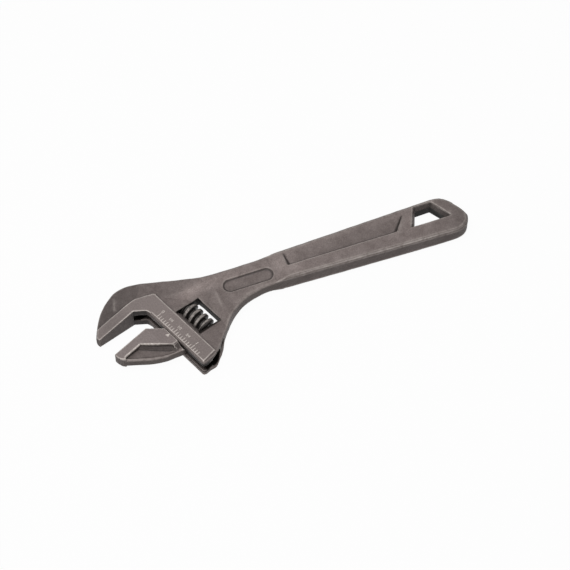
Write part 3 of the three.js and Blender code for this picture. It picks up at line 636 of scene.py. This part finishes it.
def body_masks(p, n):
    """The masks of the body from points and normals in the head's frame.

    x, y and z are the head's own axes. flat runs along the tool and across runs over it.
    """
    x, y, z = p.T
    plan = from_head(p)[:, :2] / MM
    flat, across = plan.T
    facing = n @ head_axes
    upright = np.abs(n[:, 2]) < 0.7
    level = np.abs(n[:, 2]) > 0.95

    # Machined faces, and the walls that get oil and painted shade.
    top = BAND_TOP - TAPER * np.clip(-THROAT - x, 0, None)
    high = (np.abs(z) > top - 0.5 * BAND_STEP) & (x < BAND_WIDTH + 0.3)
    grip = (np.abs(y) < 0.3) & (x < -THROAT)
    slot = (np.abs(z) < SLOT_HALF + WALL_ROOM) & (x > -THROAT - 0.1) & (x < RACK_BACK)
    slot &= y < SLOT_END
    mouth = slot & (y < -2) & (x < 2)
    bore = (np.hypot(x - RACK_BACK, z) < BORE + WALL_ROOM) & (y < 4)
    front = between(z, (-3.6, 4.2)) & (x < 4) & (y < CHEEK_FOOT) & upright
    window = near_window(x, y, 0.4) & (x > WINDOW_START)
    below_foot = np.abs(y - window_foot + 0.9)
    sill = between(x, (WINDOW_START, WORM_BACK + 8.4)) & (below_foot < 0.3 + 0.035 * (25 - x)) & (z > 2)
    hole = near_hole(flat, across, 1) & upright
    hole_shade = hole * ramp(-z, -1.2, 0.2)

    # Broad tone of each region: painted shade on faces that turn away from the light at the back of the head, on
    # the nose and on the far side, a painted shadow in the throat, painted light on the lower cheeks, and painted
    # shade on the panel's ends and in the hanging hole.
    back = ramp(n[:, 1], 0.08, 0.24) * (np.abs(n[:, 2]) > 0.7) * (x < 30)
    nose = (x < -THROAT) & (n[:, 0] < -0.1) & (n[:, 1] > 0.2)
    throat = streak(p[:, :2], (-THROAT, 0), (-0.5, -4.2), 0.9) * upright
    low_cheek = (z < -SLOT_HALF - 0.3) & (y < CHEEK_FOOT) & upright
    far_side = (facing[:, 1] > 0.25) & (flat > -75) & (across > 17) & (np.abs(z) > 1)
    panel_ends = (np.abs(facing[:, 0]) > 0.35) & between(np.abs(z), (3, 6.2)) & between(flat, (-25, 72))
    tone = np.interp(flat, *TONES)
    for share, middle, size in HEAD_PATCHES:
        tone *= 1 + share * patch(p[:, :2], middle, size)
    for share, middle, size in TOOL_PATCHES:
        tone *= 1 + share * patch(plan, middle, size)
    for share, region in ((0.3, back), (0.12, nose), (0.65, throat), (-1.0, low_cheek),
                          (0.33, far_side), (0.45, panel_ends), (0.1, hole)):
        tone *= 1 - share * region

    # Painted highlight along the bevels of the lower side and on the upper half of the hanging hole's walls,
    # painted shade low on the lower side and on the panel's ledges, and the rubbed lines of creases and of the
    # panel's crest.
    sunk = np.interp(flat, *FACE_HEIGHTS) - np.abs(z)
    side = (facing[:, 1] < -0.2) & (across < 9)
    line = np.maximum(side * np.interp(flat, *GLINT_SHARES), 0.7 * hole * (facing[:, 1] < 0.3) * (z > 0))
    tone *= 1 - 0.05 * side * ramp(sunk, 0.7, 0.9) * ramp(flat, -8, 10)
    ledge = strongest(plan, LEDGES) * (sunk > 0.05)
    rubbed = np.maximum(strongest(p[:, :2], CREASES), strongest(plan, CRESTS))

    # Painted shade on the floors of the long panel and of the oval.
    panel = level & between(across, PANEL_ACROSS) & between(flat, PANEL_ALONG) & (sunk > 0.12)
    tone *= 1 - panel * np.interp(across, (11, 14, 20), (0.26, 0.16, 0.12))
    oval = level & (np.abs(flat - OVAL_MIDDLE[0]) < OVAL_HALF[0]) & (sunk > 0.5)
    oval &= np.abs(across - OVAL_MIDDLE[1]) < OVAL_HALF[1]
    tone *= 1 - 0.18 * oval
    return {
        "machined": (high | grip).astype(float),
        "oil_and_shade": np.select([mouth, slot | bore | front, window | sill], [0.35, 1.0, 0.97],
                           np.maximum(hole_shade, ledge * (np.abs(z) > 3))),
        "wear": np.where(high, np.interp(x, (-16, -2), (0.7, 1.3)), np.where(flat > -5, 0.5, 0.25)),
        "rub": rubbed * (np.abs(n[:, 2]) > 0.5),
        "line": line,
        "crevice": np.where(between(flat, (-36, 73)), 40.0, CREVICE_GAIN),
        "tone": tone,
    }


# %% [markdown]
# ## Outline of the body
# The plain solid is a little slim at the nose, under the neck, at the heel and along the lower
# side of the handle. The skin stands out past it there, by up to 1.3 mm. The walls of the slot
# and of the bore, which the jaw and its rack run in, are left out of this.

# %% Body outline
UPPER_OUTLINE = ((-100, -94, -85, -76, -52, -42, 100), (0.4, 0.8, 0.6, 0.1, 0.1, 0.35, 0.35))
UNDER_OUTLINE = ((-56, -48, -41, -36, -30, -18, -12, -5), (0, 0.4, 0.2, 0.5, 0.9, 1.1, 0.8, 0.5))
UNDER_DROP = ((-42, -30, -10, 0, 20, 40, 80, 92), (0, 0.3, 0.6, 1.1, 1.3, 1.3, 1.1, 0.5))
HEEL_OUTLINE = ((4, 8, 16, 21), (0, 0.9, 0.9, 0))     # behind the front of the cheeks
SILL_DROP = 0.7       # the window's lower wall, which also lies a little lower


def body_fuller(p, n):
    """How far the forging stands out past the plain solid: moves in x, y and z, in mm.

    Side walls move outwards by an amount that depends on the place along the tool. The lower
    half of the neck and the handle moves down, and the window's lower wall moves towards the
    heel. Walls of the slot, the bore and the hanging hole don't move outwards.
    """
    x, y, z = p.T
    flat, across = from_head(p)[:, :2].T / MM
    facing = n @ head_axes
    amount = np.where(facing[:, 1] > 0, np.interp(flat, *UPPER_OUTLINE), np.interp(flat, *UNDER_OUTLINE))
    lower = np.interp(flat, *UNDER_DROP)
    off_bore = ramp(np.hypot(x - RACK_BACK, z), BORE + 0.4, BORE + 1.4)
    heel = ramp(-z, 0.5, 2) * ramp(-y, 34, 38) * off_bore * np.interp(x, *HEEL_OUTLINE)
    slot = (x < 10) & (y < SLOT_END)
    band_foot = BAND_TOP - BAND_STEP - TAPER * np.clip(-THROAT - x, 0, None)
    ceiling = np.where(flat < -40, band_foot - 0.1, np.where(flat < -5, 2.4, 3.3))
    wall = (np.abs(z) < ceiling) | (across < 7) & between(flat, (-42, -2))
    wall |= (across > 17.5) & (flat > -42)
    amount = amount * (wall & ~slot & ~near_window(x, y, 0.3) & ~near_hole(flat, across, 0))
    amount = np.maximum(amount, heel * (facing[:, 1] < 0.2))
    drop = SILL_DROP * np.clip(1 - np.abs(y - window_foot) / 7, 0, 1)
    drop *= ramp(-np.abs(x - WORM_BACK), -11, -8.2)
    return np.stack([n[:, 0] * amount, n[:, 1] * amount - drop, -lower * ramp(-z, 0.5, 3)], axis=-1)


# %% Body
body = skin("body", "body_forging", 0.2, 11, body_masks, 0.22, fuller=body_fuller)
finish_piece(body, "frame", "forged_steel", forged_steel, "body")

# %% [markdown]
# ## Movable jaw
# The jaw is forged too, and then ground on its grip, on its face and on the plate and rack that
# run in the head. The lower edge of its web is almost half round, so it is smoothed much longer.

# %% Movable jaw
JAW_RIDGE = 4.6       # lower edge of the ground land below the grip, near the tip
JAW_ELBOW = 14.9      # where that edge turns down
JAW_SLANT = 1.033     # its fall per mm from there on
JAW_RIM = ((-25, -17, -9, 0), (-5.6, -11.6, -16, -19))    # top of the rim, x and below the grip
JAW_RIM_HALF = 2.75   # half of the rim's thickness, with room
HUB_FRONT = -4.8      # the hub below the land, where the rim meets the plate
HUB_TOP = -16.9
JAW_OUTLINE = 0.5     # how far the skin stands out under the jaw


def jaw_masks(p, n):
    """The masks of the movable jaw; its own grip lies at the height of the movable mount."""
    x, y, z = p.T
    below = y - movable_grip
    tilt = np.abs(n[:, 2])
    machined = (x > 0.2) | (below > -0.4)
    ridge = -JAW_RIDGE - JAW_SLANT * np.clip(x + JAW_ELBOW, 0, None)
    face = (below > ridge + 0.3) & (np.abs(z) > 2.9)
    rim = (x < -1) & (np.abs(z) < JAW_RIM_HALF) & (below < np.interp(x, *JAW_RIM))
    pocket = (np.abs(z) < 2.4) & (x < -1) & ~rim & (tilt > 0.9)
    hub = between(x, (HUB_FRONT, 0.2)) & (below < HUB_TOP) & (np.abs(z) > 2.6)
    slope = between(tilt, (0.2, 0.85)) & (np.abs(z) > 1.9) & (x < -1) & (below < ridge)
    slope &= n[:, 1] < -0.25
    # The plate and rack that run in the head get painted shade with some oil, and the tone puts painted shade on
    # the downward slope and in the pocket, with a darker hub and a lighter rim.
    return {
        "machined": np.maximum(machined, 0.75 * face).astype(float),
        "oil_and_shade": np.where(x > 0.2, 0.55, 0.0),
        "wear": np.select([x > 0.2, rim], [0.2, 0.3], 1.1),
        "tone": np.select([hub, slope, pocket, rim], [0.62, 0.55, 0.88, 1.08], 1.04),
        "line": 0 * x,
        "soft": (rim & (n[:, 1] < 0.5)).astype(float),
    }


def jaw_fuller(p, n):
    """Under the jaw the plain solid is a little slim, so the skin stands out past it there."""
    x, y, z = p.T
    amount = JAW_OUTLINE * ramp(-x, 5, 9) * ramp(-n[:, 1], 0.3, 0.7) * (y - movable_grip < -3)
    return np.stack([n[:, 0] * amount, n[:, 1] * amount, 0 * z], axis=-1)


jaw = skin("movable_jaw", "movable_jaw_forging", 0.16, 9, jaw_masks, 0.6, turned=True, fuller=jaw_fuller)
finish_piece(jaw, "jaw", "jaw_steel", jaw_steel, "movable_jaw")

# %% [markdown]
# ## Worm
# The thread is one rounded ridge that winds round the worm, so its surface is a radius that
# depends on the height and on the angle together.

# %% Worm
WORM_RADIUS = 5.7     # over its crests, mm
WORM_DEPTH = 2.0      # depth of its groove
WORM_PITCH = 3.9
WORM_LENGTH = 15.2
WORM_TURN = np.radians(170)   # where it stands at rest
WORM_BORE = 1.8       # radius of the hole for the pin
SPRING_BORE = 2.6     # radius of the wider hole for the spring
SPRING_SPACE = 4.9    # depth of that hole
END_CHAMFER = 0.8
BORE_CHAMFER = 0.25
CREST_RUB = 0.25      # height of the rubbed strip below the crests
FLANK_START = 0.08    # share of the wave at which the groove's floor ends
FLANK_SPAN = 0.72     # share of it that the flank takes


def thread_radius(y, angle):
    """Radius of the worm: a smooth step up and down once per pitch, wound round the axis.

    The wave is a cosine of height and angle together, and its middle part, as rise * rise *
    (3 - 2 * rise), makes the flanks between a flat floor and a flat crest.
    """
    wave = 0.5 + 0.5 * np.cos(2 * np.pi * (y / WORM_PITCH) + angle + WORM_TURN)
    rise = np.clip((wave - FLANK_START) / FLANK_SPAN, 0, 1)
    return WORM_RADIUS - WORM_DEPTH + WORM_DEPTH * rise * rise * (3 - 2 * rise)


def worm_piece(rows=220, sides=180):
    """The thread outside, flat ends, and the stepped bore inside, as one wrapped grid."""
    half = WORM_LENGTH / 2
    angle = np.linspace(0, 2 * np.pi, sides, endpoint=False)
    y = np.linspace(-half, half, rows)
    y_grid, angle_grid = np.meshgrid(y, angle, indexing="ij")
    outside = thread_radius(y_grid, angle_grid)
    cone = WORM_RADIUS - END_CHAMFER + (half - np.abs(y_grid))
    outside = np.minimum(outside, cone)
    inside = np.array([
        (SPRING_BORE + BORE_CHAMFER, half), (SPRING_BORE, half - BORE_CHAMFER),
        (SPRING_BORE, half - SPRING_SPACE), (WORM_BORE, half - SPRING_SPACE),
        (WORM_BORE, -half + BORE_CHAMFER), (WORM_BORE + BORE_CHAMFER, -half),
    ])
    radius = np.vstack([outside, np.repeat(inside[:, :1], sides, axis=1)])
    height = np.vstack([y_grid, np.repeat(inside[:, 1:], sides, axis=1)])
    turn = np.repeat(angle[None, :], len(radius), axis=0)
    points = np.stack([radius * np.cos(turn), height, radius * np.sin(turn)], axis=-1)
    piece = new_piece("thumb_worm", from_head(points.reshape(-1, 3) + worm_middle),
                      grid_faces(len(radius), sides, True, True))
    is_outside = (np.arange(len(radius)) < rows)[:, None]
    crest = ramp(radius, WORM_RADIUS - CREST_RUB, WORM_RADIUS) * is_outside
    set_attribute(piece.data, "edge", crest.ravel())
    face_outwards(piece)
    return piece


worm = worm_piece()
finish_piece(worm, "worm", "worm_steel", worm_steel, "worm")
print("worm faces:", len(worm.data.polygons))

# %% [markdown]
# ## Pin
# The worm turns on a plain pin that is put in through the lower edge of the head, and has a
# slotted head for a screwdriver. Its solid already holds every form, so it gets the same kind of
# skin as the forgings, with smaller squares and fewer rounds, which leaves turned edges crisp.

# %% Pin
PIN_WEAR = 0.6        # nobody touches the pin, so its edges are less rubbed


def pin_masks(p, n):
    """The whole pin is turned, so it rounds little and doesn't ripple."""
    whole = np.ones(len(p))
    return {"machined": whole, "oil_and_shade": 0 * whole, "wear": PIN_WEAR * whole}


pin = skin("worm_pin", "worm_pin_screw", 0.08, 5, pin_masks, 0.5, turned=True)
finish_piece(pin, "frame", "pin_steel", pin_steel, "worm_pin")

# %% [markdown]
# ## Spring
# A small coil sits round the pin in the upper end of the worm and takes up its play. It is one
# round section carried along a helix, because the wire has no other form.

# %% Spring
SPRING_WIRE = 0.5     # diameter of the wire, mm
SPRING_TURNS = 4
SPRING_ROOM = 0.3     # from the floor of its hole to the first turn
SPRING_RADIUS = WORM_BORE + SPRING_WIRE / 2
SPRING_START = WORM_LENGTH / 2 - SPRING_SPACE + SPRING_WIRE / 2 + SPRING_ROOM
SPRING_RISE = SPRING_SPACE - SPRING_WIRE - SPRING_ROOM


def spring_piece(steps=256, sides=12):
    """A helix with a round section carried along it, closed by a point at each end."""
    t = np.linspace(0, 1, steps)
    angle = 2 * np.pi * SPRING_TURNS * t
    out = np.stack([np.cos(angle), 0 * t, np.sin(angle)], axis=-1)
    line = SPRING_RADIUS * out + np.stack([0 * t, SPRING_START + SPRING_RISE * t, 0 * t], axis=-1)
    way = np.gradient(line, axis=0)
    way /= np.linalg.norm(way, axis=1)[:, None]
    side = np.cross(way, out)
    ring = np.linspace(0, 2 * np.pi, sides, endpoint=False)
    shell = (line[:, None] + SPRING_WIRE / 2 * (np.cos(ring)[None, :, None] * out[:, None]
             + np.sin(ring)[None, :, None] * side[:, None]))
    shell = np.concatenate([np.repeat(line[:1, None], sides, axis=1), shell,
                            np.repeat(line[-1:, None], sides, axis=1)])
    piece = new_piece("worm_coil_spring", from_head(shell.reshape(-1, 3) + worm_middle),
                      grid_faces(steps + 2, sides, False, True))
    weld(piece.data)
    face_outwards(piece)
    return piece


spring = spring_piece()
finish_piece(spring, "frame", "spring_steel", spring_steel, "worm_spring")
print("spring faces:", len(spring.data.polygons))

# %% [markdown]
# ## Scale on the head
# A scale of sixteenths of an inch is marked on the band beside the slot. Its lines show as
# light, bare steel. Here each is a very low rounded bar that lies on the band, because the band's
# skin is too coarse for a groove this narrow, and all of them make one piece.

# %% Scale
INCH = 25.4
TICKS = 20            # lines, one each sixteenth of an inch
TICK_START = 10.4     # zero line below the fixed grip, mm
TICK_FRONT = 1.0      # foot of the lines behind the front of the cheeks
TICK_WIDTH = 0.45
TICK_HEIGHT = 0.07
TICK_LENGTHS = ((16, 3.0), (8, 2.7), (4, 2.3))    # at every so many lines, length in mm
TICK_SHORT = 2.0      # all the others


def pill(centre, length, width, height, columns=16, rows=7):
    """A low rounded bar along x: a flattened ball, cut across and drawn out to its length."""
    around = np.linspace(0, 2 * np.pi, columns, endpoint=False) + np.pi / columns
    level = np.linspace(-np.pi / 2, np.pi / 2, rows)
    level, around = np.meshgrid(level, around, indexing="ij")
    x = np.cos(level) * np.cos(around) * width / 2
    x = x + np.sign(x) * (length - width) / 2 * (np.cos(level) > 1e-6)
    y = np.cos(level) * np.sin(around) * width / 2
    z = np.sin(level) * height
    return np.stack([x, y, z], axis=-1) + np.asarray(centre)


def tick_length(i):
    """Long lines at whole inches, shorter at halves and quarters."""
    for step, length in TICK_LENGTHS:
        if i % step == 0:
            return length
    return TICK_SHORT


def scale_lines():
    """One bar for each line, half sunk in the band, below one another from the zero line on."""
    bars = []
    for i in range(TICKS):
        length = tick_length(i)
        centre = (TICK_FRONT + length / 2, -TICK_START - i * INCH / 16, BAND_TOP)
        bars.append(pill(centre, length, TICK_WIDTH, TICK_HEIGHT))
    rows, columns = bars[0].shape[:2]
    points = np.concatenate([bar.reshape(-1, 3) for bar in bars])
    faces = grid_faces(rows, columns, False, True)
    faces = np.concatenate([faces + i * rows * columns for i in range(TICKS)])
    piece = new_piece("scale_lines", from_head(points), faces)
    weld(piece.data)
    face_outwards(piece)
    return piece


lines = scale_lines()
finish_piece(lines, "frame", "forged_steel", mark_steel)
print("scale lines:", TICKS, "with", len(lines.data.polygons), "faces")

# %% [markdown]
# ## Numerals
# Each quarter of an inch has its figure, with its foot to the front of the cheeks. Text curves
# with a little depth and a small bevel give clean figures, and are made meshes at once, so that
# they can be turned and placed as points.

# %% Numerals
NUMERALS = ("0", "1/4", "1/2", "3/4", "1")
NUMERAL_BACK = 4.4    # their feet behind the front of the cheeks, mm
WHOLE_SIZE = 2.5      # size of a whole number, and of a fraction
FRACTION_SIZE = 2.0
NUMERAL_DEPTH = 0.06  # half of the depth before the bevel
NUMERAL_BEVEL = 0.05
NUMERAL_FATTER = 0.02 # how far every stroke's outline is moved outwards


def numeral_points(text, size, at):
    """Mesh of a raised numeral: a text curve with a little depth, made a mesh and then placed."""
    curve = bpy.data.curves.new("numeral", "FONT")
    curve.body = text
    curve.size = size
    curve.align_x = "CENTER"
    curve.extrude = NUMERAL_DEPTH
    curve.bevel_depth = NUMERAL_BEVEL
    curve.offset = NUMERAL_FATTER
    curve.resolution_u = 4
    holder = bpy.data.objects.new("numeral", curve)
    bpy.context.scene.collection.objects.link(holder)
    bpy.context.view_layer.update()
    shown = holder.evaluated_get(bpy.context.evaluated_depsgraph_get())
    mesh = bpy.data.meshes.new_from_object(shown)
    flat = points_of(mesh)
    bpy.data.objects.remove(holder)
    placed = np.stack([flat[:, 1], -flat[:, 0], flat[:, 2]], axis=-1) + np.asarray(at)
    faces = [list(p.vertices) for p in mesh.polygons]
    return placed, faces


def numerals():
    """All the figures as one mesh, each a quarter of an inch below the one before."""
    points = []
    faces = []
    count = 0
    for i, text in enumerate(NUMERALS):
        at = (NUMERAL_BACK, -TICK_START - i * INCH / 4, BAND_TOP)
        size = WHOLE_SIZE if len(text) == 1 else FRACTION_SIZE
        placed, polygons = numeral_points(text, size, at)
        points.append(placed)
        faces += [[v + count for v in polygon] for polygon in polygons]
        count += len(placed)
    mesh = bpy.data.meshes.new("scale_numerals")
    mesh.from_pydata(from_head(np.concatenate(points)).tolist(), [], faces)
    piece = bpy.data.objects.new("scale_numerals", mesh)
    bpy.context.scene.collection.objects.link(piece)
    weld(mesh)
    face_outwards(piece)
    return piece


figures = numerals()
finish_piece(figures, "frame", "forged_steel", mark_steel)
print("numerals:", len(NUMERALS), "with", len(figures.data.polygons), "faces")

# %% [markdown]
# ## Pointer on the movable jaw
# A small triangle on the jaw's land, beside the band, shows the opening on the scale. It is as
# light as the scale, and it moves with the jaw.

# %% Pointer
POINTER = ((-2.6, -9.5), (-0.2, -10.7), (-2.4, -11.5))    # corners from the movable grip, mm
POINTER_TOP = 5.63    # above the middle of the jaw; its land lies just below
POINTER_HEIGHT = 0.12 # of which most is sunk in the land


def pointer_piece():
    """Three corners at two heights: a lid, a base and three sides."""
    corners = np.array([(x, movable_grip + y) for x, y in POINTER])
    low = np.column_stack([corners, np.full(3, POINTER_TOP - POINTER_HEIGHT)])
    high = np.column_stack([corners, np.full(3, POINTER_TOP)])
    mesh = bpy.data.meshes.new("jaw_pointer")
    faces = [(0, 1, 2), (3, 4, 5)] + [(i, (i + 1) % 3, (i + 1) % 3 + 3, i + 3) for i in range(3)]
    mesh.from_pydata(from_head(np.concatenate([low, high])).tolist(), [], faces)
    piece = bpy.data.objects.new("jaw_pointer", mesh)
    bpy.context.scene.collection.objects.link(piece)
    face_outwards(piece)
    return piece


pointer = pointer_piece()
finish_piece(pointer, "jaw", "jaw_steel", mark_steel)
print("pointer corners:", len(pointer.data.vertices))

# %% [markdown]
# ## Floor, light and camera
# A pale floor and a wide soft sky stand in for a light tent. To the camera and in reflections
# both are white, but they throw little light, so the lamps decide how deep the shades are. The
# key lamp hangs over the head and brings an upward face to the level of its own colour.

# %% Floor and sky
AIM = np.array([-1.4, 4.155, 4.9]) * MM   # the point that the camera and the lamp face
FLOOR_HALF = 3.0      # half of the floor's side, m
FLOOR_GLOW = 0.88     # share of the floor that is seen as plain white
GLOW_STRENGTH = 1.1
FLOOR_TONE = "7a7a7a" # the rest of it, which also lights the sides of the wrench
SKY_LEVEL = 0.22      # light from all round


def seen_share(tree):
    """1 for rays from the camera, in reflections and through glass, and 0 for light."""
    rays = add(tree, "LightPath").outputs
    seen = add(tree, "Math", {0: rays["Is Camera Ray"], 1: rays["Is Glossy Ray"]},
               operation="MAXIMUM").outputs[0]
    return add(tree, "Math", {0: seen, 1: rays["Is Transmission Ray"]},
               operation="MAXIMUM").outputs[0]


floor_corners = np.array([[-1, -1, 0], [1, -1, 0], [1, 1, 0], [-1, 1, 0]]) * FLOOR_HALF
floor = new_piece("floor", floor_corners, np.array([[0, 1, 2, 3]]))
material, tree = new_material("pale_studio_floor")
share = add(tree, "Math", {0: seen_share(tree), 1: FLOOR_GLOW}, operation="MULTIPLY").outputs[0]
matt = add(tree, "BsdfDiffuse", {"Color": linear(FLOOR_TONE)}).outputs[0]
glow = add(tree, "Emission", {"Color": linear("ffffff"), "Strength": GLOW_STRENGTH}).outputs[0]
surface = add(tree, "MixShader", {0: share, 1: matt, 2: glow}).outputs[0]
add(tree, "OutputMaterial", {"Surface": surface})
floor.data.materials.append(material)

world = bpy.data.worlds.new("soft_studio")
world.use_nodes = True
tree = world.node_tree
tree.nodes.clear()
level = add(tree, "MapRange", {"Value": seen_share(tree), "To Min": SKY_LEVEL,
                               "To Max": 1.0}).outputs[0]
sky = add(tree, "Background", {"Color": (1.0, 1.0, 1.0, 1.0), "Strength": level})
add(tree, "OutputWorld", {"Surface": sky.outputs[0]})
bpy.context.scene.world = world
print("floor and sky:", floor.name, world.name)

# %% Lamps
KEY_PLACE = (-0.18, -0.02, 0.75)      # m
KEY_SIZE = 0.35       # side of its square, m
KEY_WATTS = 3.4


def lamp(name, place, size, watts):
    """A soft square lamp at a place in metres that faces the middle of the wrench."""
    light = bpy.data.lights.new(name, "AREA")
    light.shape = "SQUARE"
    light.size = size
    light.energy = watts
    holder = bpy.data.objects.new(name, light)
    bpy.context.scene.collection.objects.link(holder)
    way = Vector(np.array(place) - AIM)
    holder.location = place
    holder.rotation_euler = way.to_track_quat("Z", "Y").to_euler()


lamp("key_lamp", KEY_PLACE, KEY_SIZE, KEY_WATTS)
print("key lamp:", KEY_WATTS, "W at", KEY_PLACE)

# %% Camera
ELEVATION = np.radians(56)    # above the floor
TURN = np.radians(-21.05)     # from straight ahead
DISTANCE = 1.0        # m
LENS_MM = 124.1
SENSOR_MM = 36

camera_data = bpy.data.cameras.new("camera")
camera_data.lens = LENS_MM
camera_data.sensor_width = SENSOR_MM
camera = bpy.data.objects.new("camera", camera_data)
bpy.context.scene.collection.objects.link(camera)
level_part = np.cos(ELEVATION)
back = np.array([np.sin(TURN) * level_part, -np.cos(TURN) * level_part, np.sin(ELEVATION)])
camera.location = AIM + DISTANCE * back
camera.rotation_euler = (np.pi / 2 - ELEVATION, 0, TURN)
bpy.context.scene.camera = camera
bpy.context.scene.view_settings.view_transform = "Standard"
print("camera at", tuple(round(c, 3) for c in camera.location))
